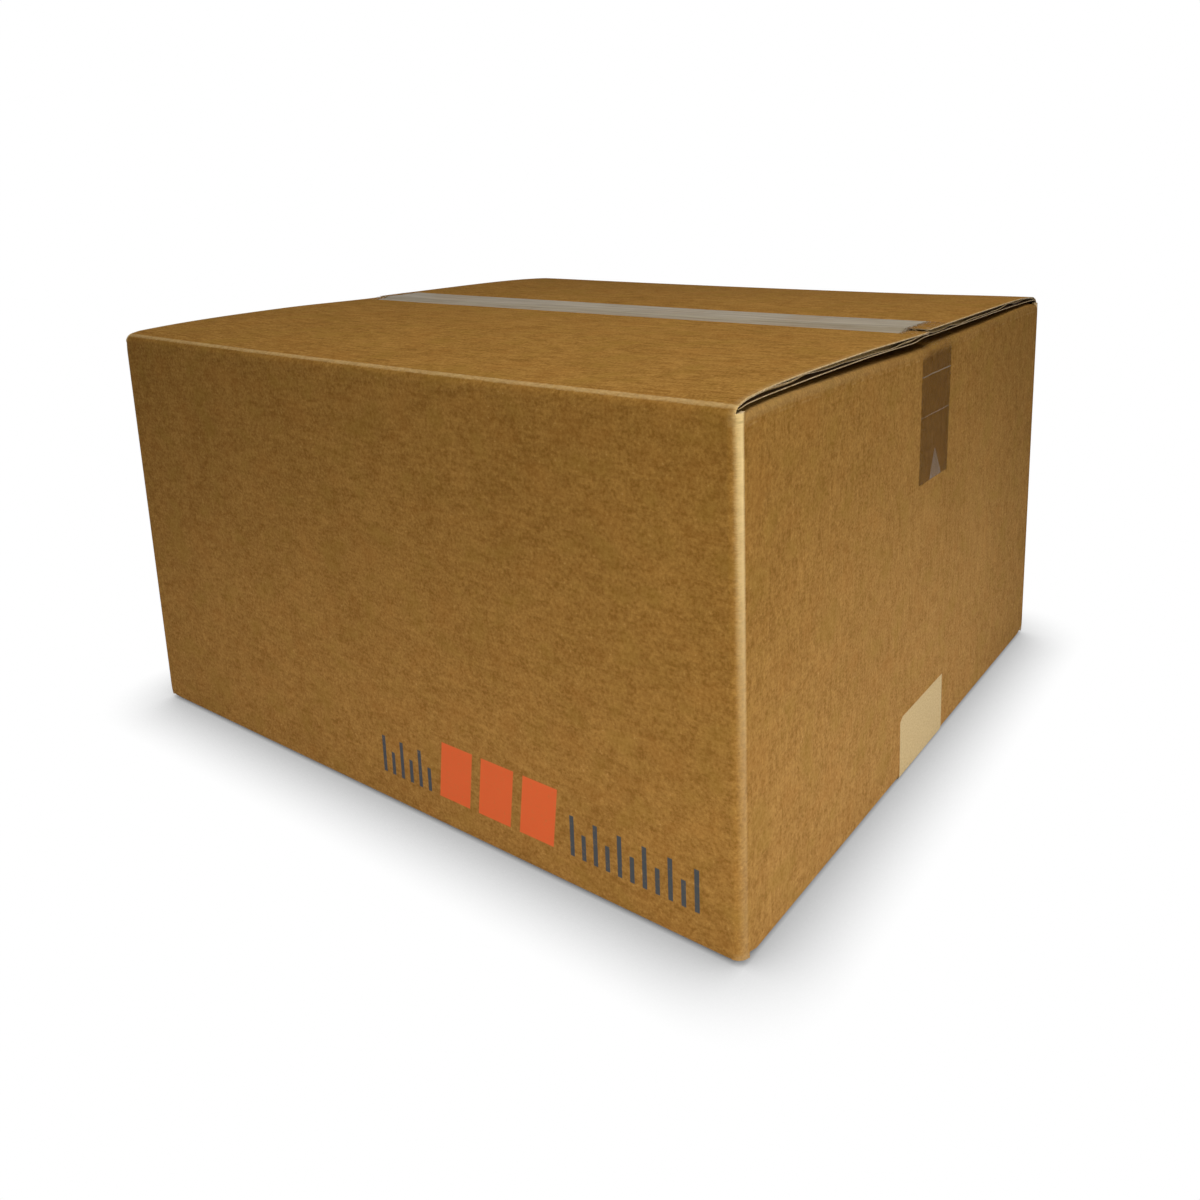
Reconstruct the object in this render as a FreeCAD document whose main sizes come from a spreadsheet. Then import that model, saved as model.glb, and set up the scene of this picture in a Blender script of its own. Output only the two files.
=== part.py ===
import FreeCAD, Part
import math
import os
import Sketcher

# Closed regular slotted carton
# One sheet of single-wall corrugated board, cut with slots, is folded into a box.
# Clear film tape holds the top flaps and gummed paper tape holds the bottom flaps.
# Millimetres, +Z up, +X along the long front panel, -Y out of the front panel.
# The origin is on the surface the box stands on, under the middle of the box.

doc = FreeCAD.newDocument("closed_carton")

# Driving sizes, one row of the sheet each

SIZES = [
    ("box_length", 508.0, "outside, end panel to end panel"),
    ("box_width", 457.0, "outside, front panel to back panel"),
    ("box_height", 279.0, "outside, bottom flaps to the folds of the top flaps"),
    ("board", 4.0, "thickness of the corrugated board"),
    ("liner", 0.5, "thickness of each flat liner of the board"),
    ("medium", 0.4, "thickness of the fluted paper between the liners"),
    ("corner_fold", 6.0, "outside radius of the four upright folds"),
    ("long_fold", 6.0, "outside radius of the folds of the outer flaps"),
    ("end_fold", 7.5, "outside radius of the folds of the top inner flaps"),
    ("low_fold", 4.5, "outside radius of the folds of the bottom inner flaps, pressed tight"),
    ("crown", 4.0, "rise of the top outer flaps from their folds to the seam"),
    ("seam_gap", 1.0, "gap between the two outer flaps where they meet"),
    ("inner_gap", 51.0, "gap between the two inner flaps, under the outer ones"),
    ("layer_gap", 0.3, "clearance between outer and inner flaps"),
    ("outer_flap_inset", 2.0, "side edges of the top outer flaps, in from the end faces"),
    ("low_flap_inset", 6.5, "side edges of the bottom outer flaps, in from the end faces"),
    ("inner_flap_inset", 6.5, "side edges of the inner flaps, in from the long faces"),
    ("edge_hollow", 5.0, "depth of the open flute along a cut edge"),
    ("medium_inset", 0.8, "edge of the fluted paper, in from the rims of the liners"),
    ("glue_tab", 35.0, "length of the glue tab inside the back panel"),
    ("film", 0.1, "thickness of the clear tape"),
    ("film_width", 48.0, "width of the clear tape"),
    ("film_tail", 91.0, "clear tape down each end, from the top folds"),
    ("film_offset", 9.0, "middle of the clear tape, back from the seam"),
    ("paper", 0.2, "thickness of the gummed paper tape"),
    ("paper_width", 72.0, "width of the gummed paper tape"),
    ("paper_tail", 43.0, "paper tape up each end, from the floor"),
]

# Heights and places that follow from them

DERIVED = [
    ("base", "paper", "underside of the bottom outer flaps"),
    ("lid", "base + box_height", "top of the folds of the top outer flaps"),
    ("wall_low", "base + board + layer_gap + low_fold", "lower end of the walls"),
    ("wall_high", "lid - board - layer_gap - end_fold", "upper end of the walls"),
    ("half_length", "box_length / 2", "middle to an end face"),
    ("half_width", "box_width / 2", "middle to a long face"),
    ("flap_side", "half_length - outer_flap_inset", "side edges of the top outer flaps"),
    ("low_flap_side", "half_length - low_flap_inset", "side edges of the bottom outer flaps"),
    ("crown_run", "half_width - long_fold", "centre of a long fold to the seam"),
    ("crown_radius",
     "long_fold + ( crown_run ^ 2 + crown ^ 2 ) / ( 2 * crown )",
     "radius of the arched top"),
    ("seam_height", "lid + crown", "top of the outer flaps at the seam"),
]

# Along a cut edge of an outer flap the fluted paper wanders from liner to liner,
# because the cut isn't quite parallel to the flutes. Each turn is a share of the
# flap's run from the seam, and a share of the board's thickness under the outer face.

FLUTE_TURNS = [(0.02, 0.84), (0.3, 0.16), (0.62, 0.84), (0.93, 0.16)]

sheet = doc.addObject("Spreadsheet::Sheet", "sizes")


def write_row(row, alias, content, meaning):
    """Put one size in the sheet, with its meaning beside it."""
    sheet.set("A%d" % row, meaning)
    sheet.set("B%d" % row, content)
    sheet.setAlias("B%d" % row, alias)


for number, (alias, value, meaning) in enumerate(SIZES, start=1):
    write_row(number, alias, str(value), meaning)
for number, (alias, formula, meaning) in enumerate(DERIVED, start=len(SIZES) + 1):
    write_row(number, alias, "=" + formula, meaning)
doc.recompute()

ALIASES = [alias for alias, content, meaning in SIZES + DERIVED]


def worth(formula):
    """The number that a formula of named sizes gives."""
    return float(sheet.evalExpression(formula))


def bound(formula):
    """The same formula as an expression that another object can hold."""
    words = formula.split()
    return " ".join("sizes." + word if word in ALIASES else word for word in words)


# Sketch helpers: a piece of outline is its geometry number, first and last vertex


def add_sketch(body, name, plane):
    """A sketch on one of the body's own origin planes."""
    sketch = body.newObject("Sketcher::SketchObject", name)
    roles = {feature.Role: feature for feature in body.Origin.OriginFeatures}
    sketch.AttachmentSupport = (roles[plane], [""])
    sketch.MapMode = "FlatFace"
    return sketch


def add_line(sketch, start, end):
    """A straight piece from start to end."""
    segment = Part.LineSegment(FreeCAD.Vector(*start, 0), FreeCAD.Vector(*end, 0))
    return sketch.addGeometry(segment, False), 1, 2


def add_arc(sketch, centre, radius, first_angle, last_angle):
    """A round piece between two angles in degrees, walked from first to last."""
    circle = Part.Circle(FreeCAD.Vector(*centre, 0), FreeCAD.Vector(0, 0, 1), radius)
    low, high = sorted((math.radians(first_angle), math.radians(last_angle)))
    number = sketch.addGeometry(Part.ArcOfCircle(circle, low, high), False)
    if first_angle < last_angle:
        return number, 1, 2
    return number, 2, 1


def join(sketch, before, after, kind="Coincident"):
    """Tie the end of one piece to the start of the next."""
    sketch.addConstraint(Sketcher.Constraint(kind, before[0], before[2], after[0], after[1]))


def relate(sketch, kind, *what):
    """A relation without a size."""
    sketch.addConstraint(Sketcher.Constraint(kind, *what))


def drive(sketch, kind, what, formula):
    """A relation whose size follows a formula of named sizes."""
    number = sketch.addConstraint(Sketcher.Constraint(kind, *what, worth(formula)))
    name = "size_%d" % number
    sketch.renameConstraint(number, name)
    sketch.setExpression("Constraints." + name, bound(formula))


def drive_across(sketch, piece, vertex, side, formula):
    """Put a vertex this far from the origin, to the left for side -1 or right for +1."""
    ends = (-1, 1, piece[0], vertex) if side > 0 else (piece[0], vertex, -1, 1)
    drive(sketch, "DistanceX", ends, formula)


def drive_height(sketch, piece, vertex, side, formula):
    """Put a vertex this far from the origin, below for side -1 or above for +1."""
    ends = (-1, 1, piece[0], vertex) if side > 0 else (piece[0], vertex, -1, 1)
    drive(sketch, "DistanceY", ends, formula)


def add_pad(body, sketch, name, length):
    """Thicken a sketch equally to both sides of its plane."""
    pad = body.newObject("PartDesign::Pad", name)
    pad.Profile = sketch
    pad.SideType = "Symmetric"
    pad.setExpression("Length", bound(length))
    return pad


def add_mirror(body, features, name, plane):
    """Repeat features on the far side of one of the body's origin planes."""
    mirror = body.newObject("PartDesign::Mirrored", name)
    roles = {feature.Role: feature for feature in body.Origin.OriginFeatures}
    mirror.Originals = features
    mirror.MirrorPlane = (roles[plane], [""])
    body.Tip = mirror
    return mirror


# The walls: four panels round the box, closed by a glue tab behind the back panel


def draw_outer_face(sketch):
    """Plan of the outer face, with the open cut edge of the back panel at its joint."""
    x_fold = worth("half_length - corner_fold")
    y_fold = worth("half_width - corner_fold")
    y_tab = worth("half_width - board - corner_fold")
    x_face = worth("half_length")
    y_face = worth("half_width")
    x_floor = worth("half_length - corner_fold - edge_hollow")
    y_in = worth("half_width - board")
    y_rim_in = worth("half_width - board + liner")
    y_rim_out = worth("half_width - liner")
    fold = worth("corner_fold")

    back = add_line(sketch, (-x_fold, y_face), (x_fold, y_face))
    back_right = add_arc(sketch, (x_fold, y_fold), fold, 90, 0)
    right = add_line(sketch, (x_face, y_fold), (x_face, -y_fold))
    front_right = add_arc(sketch, (x_fold, -y_fold), fold, 0, -90)
    front = add_line(sketch, (x_fold, -y_face), (-x_fold, -y_face))
    front_left = add_arc(sketch, (-x_fold, -y_fold), fold, 270, 180)
    left = add_line(sketch, (-x_face, -y_fold), (-x_face, y_tab))
    tab_fold = add_arc(sketch, (-x_fold, y_tab), fold, 180, 90)
    rim_in = add_line(sketch, (-x_fold, y_in), (-x_fold, y_rim_in))
    cheek_in = add_line(sketch, (-x_fold, y_rim_in), (-x_floor, y_rim_in))
    floor = add_line(sketch, (-x_floor, y_rim_in), (-x_floor, y_rim_out))
    cheek_out = add_line(sketch, (-x_floor, y_rim_out), (-x_fold, y_rim_out))
    rim_out = add_line(sketch, (-x_fold, y_rim_out), (-x_fold, y_face))

    smooth = [back, back_right, right, front_right, front, front_left, left, tab_fold]
    for before, after in zip(smooth, smooth[1:]):
        join(sketch, before, after, "Tangent")
    square = [tab_fold, rim_in, cheek_in, floor, cheek_out, rim_out, back]
    for before, after in zip(square, square[1:]):
        join(sketch, before, after)
    for piece in (back, front, cheek_in, cheek_out):
        relate(sketch, "Horizontal", piece[0])
    for piece in (right, left, rim_in, rim_out, floor):
        relate(sketch, "Vertical", piece[0])
    for piece in (back_right, front_right, front_left, tab_fold):
        drive(sketch, "Radius", (piece[0],), "corner_fold")
    drive_height(sketch, back, 1, 1, "half_width")
    drive_height(sketch, front, 1, -1, "half_width")
    drive_across(sketch, right, 1, 1, "half_length")
    drive_across(sketch, left, 1, -1, "half_length")
    drive_height(sketch, tab_fold, 3, 1, "half_width - board - corner_fold")
    drive_across(sketch, tab_fold, tab_fold[2], -1, "half_length - corner_fold")
    drive_height(sketch, rim_in, 2, 1, "half_width - board + liner")
    drive_height(sketch, rim_out, 1, 1, "half_width - liner")
    drive_across(sketch, rim_out, 1, -1, "half_length - corner_fold")
    drive_across(sketch, floor, 1, -1, "half_length - corner_fold - edge_hollow")


def draw_inner_face(sketch):
    """Plan of the inner face, thicker where the glue tab lies on the back panel."""
    x_fold = worth("half_length - corner_fold")
    y_fold = worth("half_width - corner_fold")
    y_tab = worth("half_width - board - corner_fold")
    x_face = worth("half_length - board")
    y_face = worth("half_width - board")
    x_tab = worth("half_length - corner_fold - glue_tab")
    y_inner = worth("half_width - 2 * board")
    fold = worth("corner_fold - board")

    tab = add_line(sketch, (-x_fold, y_inner), (-x_tab, y_inner))
    tab_end = add_line(sketch, (-x_tab, y_inner), (-x_tab, y_face))
    back = add_line(sketch, (-x_tab, y_face), (x_fold, y_face))
    back_right = add_arc(sketch, (x_fold, y_fold), fold, 90, 0)
    right = add_line(sketch, (x_face, y_fold), (x_face, -y_fold))
    front_right = add_arc(sketch, (x_fold, -y_fold), fold, 0, -90)
    front = add_line(sketch, (x_fold, -y_face), (-x_fold, -y_face))
    front_left = add_arc(sketch, (-x_fold, -y_fold), fold, 270, 180)
    left = add_line(sketch, (-x_face, -y_fold), (-x_face, y_tab))
    tab_fold = add_arc(sketch, (-x_fold, y_tab), fold, 180, 90)

    smooth = [back, back_right, right, front_right, front, front_left, left, tab_fold, tab]
    for before, after in zip(smooth, smooth[1:]):
        join(sketch, before, after, "Tangent")
    join(sketch, tab, tab_end)
    join(sketch, tab_end, back)
    for piece in (tab, back, front):
        relate(sketch, "Horizontal", piece[0])
    for piece in (tab_end, right, left):
        relate(sketch, "Vertical", piece[0])
    for piece in (back_right, front_right, front_left, tab_fold):
        drive(sketch, "Radius", (piece[0],), "corner_fold - board")
    drive_height(sketch, back, 1, 1, "half_width - board")
    drive_height(sketch, front, 1, -1, "half_width - board")
    drive_across(sketch, right, 1, 1, "half_length - board")
    drive_across(sketch, left, 1, -1, "half_length - board")
    drive_height(sketch, tab, 1, 1, "half_width - 2 * board")
    drive_across(sketch, tab, 2, -1, "half_length - corner_fold - glue_tab")


def add_walls(body):
    """The four panels and the glue tab, from the bottom folds to the top folds."""
    sketch = add_sketch(body, "walls_plan", "XY_Plane")
    draw_outer_face(sketch)
    draw_inner_face(sketch)
    pad = body.newObject("PartDesign::Pad", "walls")
    pad.Profile = sketch
    pad.setExpression("Length", bound("wall_high - wall_low"))
    sketch.setExpression(".AttachmentOffset.Base.z", bound("wall_low"))
    return pad


# The flaps, each drawn in section on the left of its plane, from a stub of the wall
# round the fold to the free edge. A level is the top or the bottom of the box.

TOP = {"side": 1, "outer_fold": "lid - long_fold", "inner_fold": "wall_high",
       "wall_end": "wall_high", "inner_stub": "wall_high - board", "end_fold": "end_fold",
       "flap_side": "flap_side", "run": "seam_height", "arched": True}
BOTTOM = {"side": -1, "outer_fold": "base + long_fold", "inner_fold": "wall_low",
          "wall_end": "wall_low", "inner_stub": "wall_low + board", "end_fold": "low_fold",
          "flap_side": "low_flap_side", "run": "base", "arched": False}

# Angle from the vertical, in degrees, at which an arched flap leaves its fold
CROWN_LEAN = math.degrees(
    math.atan2(worth("crown_run"), worth("crown_radius - long_fold - crown")))


def draw_flap_face(sketch, level, depth, half, fold, fold_at, stub_at, edge, arched):
    """One face of a flap at a depth under the outer face: stub, bend and flap."""
    side = level["side"]
    radius = worth(fold + " - " + depth)
    x_fold = -worth(half + " - " + fold)
    y_fold = worth(fold_at)
    x_edge = -worth(edge)
    stub = add_line(sketch, (x_fold - radius, worth(stub_at)), (x_fold - radius, y_fold))
    if arched:
        lean = 90 + CROWN_LEAN
        wide = worth("crown_radius - " + depth)
        stop = 90 + math.degrees(math.asin(-x_edge / wide))
        bend = add_arc(sketch, (x_fold, y_fold), radius, 180, lean)
        flap = add_arc(sketch, (0, worth("seam_height - crown_radius")), wide, lean, stop)
    else:
        y_flap = y_fold + side * radius
        bend = add_arc(sketch, (x_fold, y_fold), radius, 180, 180 - 90 * side)
        flap = add_line(sketch, (x_fold, y_flap), (x_edge, y_flap))
        relate(sketch, "Horizontal", flap[0])
    join(sketch, stub, bend, "Tangent")
    join(sketch, bend, flap, "Tangent")
    relate(sketch, "Vertical", stub[0])
    drive(sketch, "Radius", (bend[0],), fold + " - " + depth)
    return stub, bend, flap


def draw_flap(sketch, level, near, far, half, fold, fold_at, stub_at, edge, arched=False):
    """Closed section of a flap between two depths under its outer face."""
    place = (half, fold, fold_at, stub_at, edge, arched)
    stub, bend, flap = draw_flap_face(sketch, level, near, *place)
    stub_far, bend_far, flap_far = draw_flap_face(sketch, level, far, *place)
    x_near = -worth(half + " - " + near)
    x_far = -worth(half + " - " + far)
    y_stub = worth(stub_at)
    root = add_line(sketch, (x_far, y_stub), (x_near, y_stub))
    join(sketch, root, stub)
    relate(sketch, "Coincident", root[0], 1, stub_far[0], 1)
    relate(sketch, "Horizontal", root[0])
    relate(sketch, "Coincident", bend[0], 3, bend_far[0], 3)
    drive_across(sketch, bend, 3, -1, half + " - " + fold)
    drive_height(sketch, bend, 3, 1, fold_at)
    drive_height(sketch, root, 1, 1, stub_at)
    x_edge = -worth(edge)
    top = sketch.getPoint(flap[0], flap[2]).y
    under = sketch.getPoint(flap_far[0], flap_far[2]).y
    rim = add_line(sketch, (x_edge, top), (x_edge, under))
    join(sketch, flap, rim)
    relate(sketch, "Coincident", rim[0], 2, flap_far[0], flap_far[2])
    relate(sketch, "Vertical", rim[0])
    drive_across(sketch, rim, 1, -1, edge)
    if arched:
        relate(sketch, "Coincident", flap[0], 3, flap_far[0], 3)
        relate(sketch, "PointOnObject", flap[0], 3, -2)
        drive(sketch, "Radius", (flap[0],), "crown_radius - " + near)


def draw_outer_flap(sketch, level, near, far):
    """Section of the front outer flap between two depths under its outer face."""
    draw_flap(sketch, level, near, far, "half_width", "long_fold", level["outer_fold"],
              level["wall_end"], "seam_gap / 2", level["arched"])


def flute_height(level, share, depth_share):
    """Height of the middle of the fluted paper at a share of the flap's run."""
    depth = "%s * board" % depth_share
    if level["arched"]:
        drop = "crown_radius - sqrt( crown_radius ^ 2 - ( %s * crown_run ) ^ 2 )" % share
        return "seam_height - ( %s ) - %s" % (drop, depth)
    return "base + " + depth


def draw_flute(sketch, level):
    """Section of the fluted paper along a cut edge, turning from liner to liner."""
    turns = []
    for share, depth_share in FLUTE_TURNS:
        x = -worth("%s * crown_run" % share)
        middle = flute_height(level, share, depth_share)
        turns.append((x, share, middle))
    upper = [(x, worth(middle + " + medium / 2")) for x, share, middle in turns]
    lower = [(x, worth(middle + " - medium / 2")) for x, share, middle in turns]
    outline = upper + lower[::-1]
    pieces = [add_line(sketch, start, end)
              for start, end in zip(outline, outline[1:] + outline[:1])]
    for before, after in zip(pieces, pieces[1:] + pieces[:1]):
        join(sketch, before, after)
    for index, (x, share, middle) in enumerate(turns):
        above = pieces[index]
        below = pieces[len(outline) - 1 - index]
        for piece, offset in ((above, " + medium / 2"), (below, " - medium / 2")):
            drive_across(sketch, piece, 1, -1, "%s * crown_run" % share)
            drive_height(sketch, piece, 1, 1, middle + offset)


def add_outer_flaps(body, level, word):
    """The front outer flap: a solid core, two liners that stand past it, and the flute."""
    core = add_sketch(body, word + "_outer_flap_core_section", "YZ_Plane")
    draw_outer_flap(core, level, "0", "board")
    liners = add_sketch(body, word + "_outer_flap_liners_section", "YZ_Plane")
    draw_outer_flap(liners, level, "0", "liner")
    draw_outer_flap(liners, level, "( board - liner )", "board")
    flute = add_sketch(body, word + "_flute_section", "YZ_Plane")
    draw_flute(flute, level)
    edge = level["flap_side"]
    return [
        add_pad(body, core, word + "_outer_flap_core", "2 * ( %s - edge_hollow )" % edge),
        add_pad(body, liners, word + "_outer_flap_liners", "2 * " + edge),
        add_pad(body, flute, word + "_flute", "2 * ( %s - medium_inset )" % edge),
    ]


def add_inner_flap(body, level, word):
    """The left inner flap, under the outer ones."""
    section = add_sketch(body, word + "_inner_flap_section", "XZ_Plane")
    draw_flap(section, level, "0", "board", "half_length", level["end_fold"],
              level["inner_fold"], level["inner_stub"], "inner_gap / 2")
    return add_pad(body, section, word + "_inner_flap", "box_width - 2 * inner_flap_inset")


def make_carton():
    """The folded sheet: walls, then the flaps of one side, mirrored to the other."""
    body = doc.addObject("PartDesign::Body", "carton")
    add_walls(body)
    inner = [add_inner_flap(body, TOP, "top"), add_inner_flap(body, BOTTOM, "bottom")]
    add_mirror(body, inner, "inner_flaps_right", "YZ_Plane")
    outer = add_outer_flaps(body, TOP, "top") + add_outer_flaps(body, BOTTOM, "bottom")
    add_mirror(body, outer, "outer_flaps_back", "XZ_Plane")
    return body


# The tapes: each is a band drawn lengthwise, over the flaps and along both end panels


def draw_tape_side(sketch, hand, level, skin, tail_end):
    """One face of a tape on one end: the tail, its bend round the fold, the pull over."""
    side = level["side"]
    fold = level["end_fold"]
    radius = worth(fold + " + " + skin)
    centre = (hand * worth("half_length - " + fold), worth(level["inner_fold"]))
    corner = (hand * worth(level["flap_side"]), worth(level["run"]))
    # The band leaves the fold along the tangent that meets the outer flap's corner
    away = math.hypot(corner[0] - centre[0], corner[1] - centre[1])
    steep = math.degrees(math.atan2(corner[1] - centre[1], corner[0] - centre[0])) % 360
    spread = math.degrees(math.acos(worth(fold) / away))
    leave = steep - hand * side * spread
    start = 0 if hand > 0 else 180
    if hand > 0 and side < 0:
        start = 360
    turn = math.radians(leave)
    touch = (centre[0] + radius * math.cos(turn), centre[1] + radius * math.sin(turn))
    x_face = centre[0] + hand * radius
    rise = side * worth(skin)
    meet = (corner[0], corner[1] + rise)
    tail = add_line(sketch, (x_face, worth(tail_end)), (x_face, centre[1]))
    bend = add_arc(sketch, centre, radius, start, leave)
    pull = add_line(sketch, touch, meet)
    relate(sketch, "Vertical", tail[0])
    join(sketch, tail, bend, "Tangent")
    join(sketch, bend, pull, "Tangent")
    drive(sketch, "Radius", (bend[0],), fold + " + " + skin)
    return tail, bend, pull


def draw_tape(sketch, thickness, level, tail_end):
    """Closed outline of a tape: its inner face lies on the carton."""
    side = level["side"]
    faces = {}
    for skin in ("0", thickness):
        left = draw_tape_side(sketch, -1, level, skin, tail_end)
        right = draw_tape_side(sketch, 1, level, skin, tail_end)
        y_run = worth(level["run"]) + side * worth(skin)
        x_run = worth(level["flap_side"])
        run = add_line(sketch, (-x_run, y_run), (x_run, y_run))
        join(sketch, left[2], run)
        relate(sketch, "Coincident", run[0], 2, right[2][0], 2)
        relate(sketch, "Horizontal", run[0])
        faces[skin] = (left, right, run)
    for hand, index in ((-1, 0), (1, 1)):
        inner = faces["0"][index]
        outer = faces[thickness][index]
        relate(sketch, "Coincident", inner[1][0], 3, outer[1][0], 3)
        relate(sketch, "Parallel", inner[2][0], outer[2][0])
        drive_across(sketch, inner[1], 3, hand, "half_length - " + level["end_fold"])
        drive_height(sketch, inner[1], 3, 1, level["inner_fold"])
        drive_across(sketch, inner[2], 2, hand, level["flap_side"])
        x_face = hand * worth("half_length")
        x_skin = hand * worth("half_length + " + thickness)
        y_end = worth(tail_end)
        cut = add_line(sketch, (x_face, y_end), (x_skin, y_end))
        relate(sketch, "Coincident", cut[0], 1, inner[0][0], 1)
        relate(sketch, "Coincident", cut[0], 2, outer[0][0], 1)
        relate(sketch, "Horizontal", cut[0])
        drive_height(sketch, cut, 1, 1, tail_end)
    run_in = faces["0"][2]
    run_out = faces[thickness][2]
    drive_height(sketch, run_in, 1, 1, level["run"])
    low, high = (run_in, run_out) if side > 0 else (run_out, run_in)
    drive(sketch, "DistanceY", (low[0], 1, high[0], 1), thickness)


def make_top_tape():
    """Clear film over the top seam, with a tail down each end panel."""
    body = doc.addObject("PartDesign::Body", "top_tape")
    outline = add_sketch(body, "film_outline", "XZ_Plane")
    draw_tape(outline, "film", TOP, "lid - film_tail")
    add_pad(body, outline, "film_band", "film_width")
    body.setExpression(".Placement.Base.y", bound("film_offset"))
    return body


def make_bottom_tape():
    """Gummed paper over the bottom seam, with a tail up each end panel."""
    body = doc.addObject("PartDesign::Body", "bottom_tape")
    outline = add_sketch(body, "paper_outline", "XZ_Plane")
    draw_tape(outline, "paper", BOTTOM, "paper_tail")
    add_pad(body, outline, "paper_band", "paper_width")
    return body


pieces = [make_carton(), make_top_tape(), make_bottom_tape()]
doc.recompute()

# Nothing is written unless every feature worked and every piece is one closed solid

for thing in doc.Objects:
    if "Invalid" in thing.State or "Error" in thing.State:
        raise RuntimeError("failed: " + thing.Name)
    if thing.TypeId == "Sketcher::SketchObject" and thing.solve() != 0:
        raise RuntimeError("unsolved sketch: " + thing.Name)

os.makedirs("parts", exist_ok=True)
for body in pieces:
    shape = body.Shape
    if shape.isNull() or not shape.isValid() or len(shape.Solids) != 1:
        raise RuntimeError("not one valid solid: " + body.Label)
    shape.exportStep("parts/%s.step" % body.Label)
    box = shape.BoundBox
    print("%s: %.1f cm3, x %.1f to %.1f, y %.1f to %.1f, z %.1f to %.1f" % (
        body.Label, shape.Volume / 1000,
        box.XMin, box.XMax, box.YMin, box.YMax, box.ZMin, box.ZMax))
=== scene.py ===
# %% [markdown]
# A closed shipping carton, built as it is made in the box plant: one sheet of
# corrugated board is folded up and taped shut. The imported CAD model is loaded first.
# It is the fixed frame, so each size below is read from it or is a size of the paper.

# %% Load the frame
import math
import bmesh
import bpy
from mathutils import Matrix, Vector, noise


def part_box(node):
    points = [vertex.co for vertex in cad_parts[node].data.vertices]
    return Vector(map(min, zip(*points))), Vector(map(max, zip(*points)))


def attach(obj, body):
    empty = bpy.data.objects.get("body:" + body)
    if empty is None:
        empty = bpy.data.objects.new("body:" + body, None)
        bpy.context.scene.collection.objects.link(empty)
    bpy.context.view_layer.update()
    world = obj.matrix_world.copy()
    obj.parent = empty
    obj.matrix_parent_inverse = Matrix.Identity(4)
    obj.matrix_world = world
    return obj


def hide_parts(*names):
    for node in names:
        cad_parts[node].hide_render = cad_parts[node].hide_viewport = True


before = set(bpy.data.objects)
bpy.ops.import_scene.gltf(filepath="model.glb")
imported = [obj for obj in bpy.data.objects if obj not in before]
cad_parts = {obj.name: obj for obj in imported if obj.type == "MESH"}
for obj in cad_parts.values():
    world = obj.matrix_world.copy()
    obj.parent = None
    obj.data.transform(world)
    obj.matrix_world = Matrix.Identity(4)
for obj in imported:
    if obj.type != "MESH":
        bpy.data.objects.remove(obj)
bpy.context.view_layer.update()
print("nodes:", sorted(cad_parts))

# %% Sizes of the carton
MM = 0.001
sheet_low, sheet_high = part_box("carton")
HALF_LENGTH = sheet_high[0]
HALF_WIDTH = sheet_high[1]
BASE = sheet_low[2]
SEAM_TOP = sheet_high[2]
BOARD = 4.0 * MM
LINER = 0.5 * MM
LAYER_GAP = 0.3 * MM
CROWN = 4.0 * MM
CORNER_FOLD = 6.0 * MM
LONG_FOLD = 6.0 * MM
END_FOLD = 7.5 * MM
LOW_FOLD = 4.5 * MM
LID = SEAM_TOP - CROWN
WALL_LOW = BASE + BOARD + LAYER_GAP + LOW_FOLD
WALL_HIGH = LID - BOARD - LAYER_GAP - END_FOLD
FLAP_SIDE = HALF_LENGTH - 2.0 * MM
SEAM_GAP = 1.0 * MM
print("carton:", [round(2 * HALF_LENGTH, 4), round(2 * HALF_WIDTH, 4), round(SEAM_TOP, 4)])

# %% [markdown]
# The camera stands where the photographer stood: a little above the box, in front of
# its right corner, quite close, with a wide lens. The frame was cropped low and to
# the left, and a lens shift does the same here without turning the camera.

# %% Camera
CAMERA_PLACE = (476.7 * MM, -596.9 * MM, 372.9 * MM)
CAMERA_AZIMUTH = 35.56
CAMERA_ELEVATION = 11.83
CAMERA_ROLL = -1.47
PHOTO_PIXELS = 1200
FOCAL_PIXELS = 1028.0
LENS_CENTRE = (660.0, 400.0)
SENSOR = 36.0
NEAR_CLIP = 0.02


def camera_turn(azimuth, elevation, roll):
    """Rotation of a camera that looks back along an azimuth and an elevation."""
    a, e, r = (math.radians(angle) for angle in (azimuth, elevation, roll))
    back = Vector((math.sin(a) * math.cos(e), -math.cos(a) * math.cos(e), math.sin(e)))
    right = Vector((0, 0, 1)).cross(back).normalized()
    up = back.cross(right)
    right, up = (right * math.cos(r) + up * math.sin(r),
                 up * math.cos(r) - right * math.sin(r))
    return Matrix((right, up, back)).transposed()


camera_data = bpy.data.cameras.new("camera")
camera_data.sensor_width = SENSOR
camera_data.lens = FOCAL_PIXELS / PHOTO_PIXELS * SENSOR
camera_data.shift_x = 0.5 - LENS_CENTRE[0] / PHOTO_PIXELS
camera_data.shift_y = LENS_CENTRE[1] / PHOTO_PIXELS - 0.5
camera_data.clip_start = NEAR_CLIP
camera = bpy.data.objects.new("camera", camera_data)
camera.matrix_world = (Matrix.Translation(CAMERA_PLACE)
                       @ camera_turn(CAMERA_AZIMUTH, CAMERA_ELEVATION, CAMERA_ROLL).to_4x4())
bpy.context.scene.collection.objects.link(camera)
bpy.context.scene.camera = camera
print("lens %.2f mm" % camera_data.lens)

# %% [markdown]
# Shader maths is easier to read as arithmetic than as wires. A small class wraps a
# socket, so that mask * 0.5 + 1 adds the Math nodes. One more function adds any other
# node from its type, its settings and what goes into its sockets.


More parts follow.
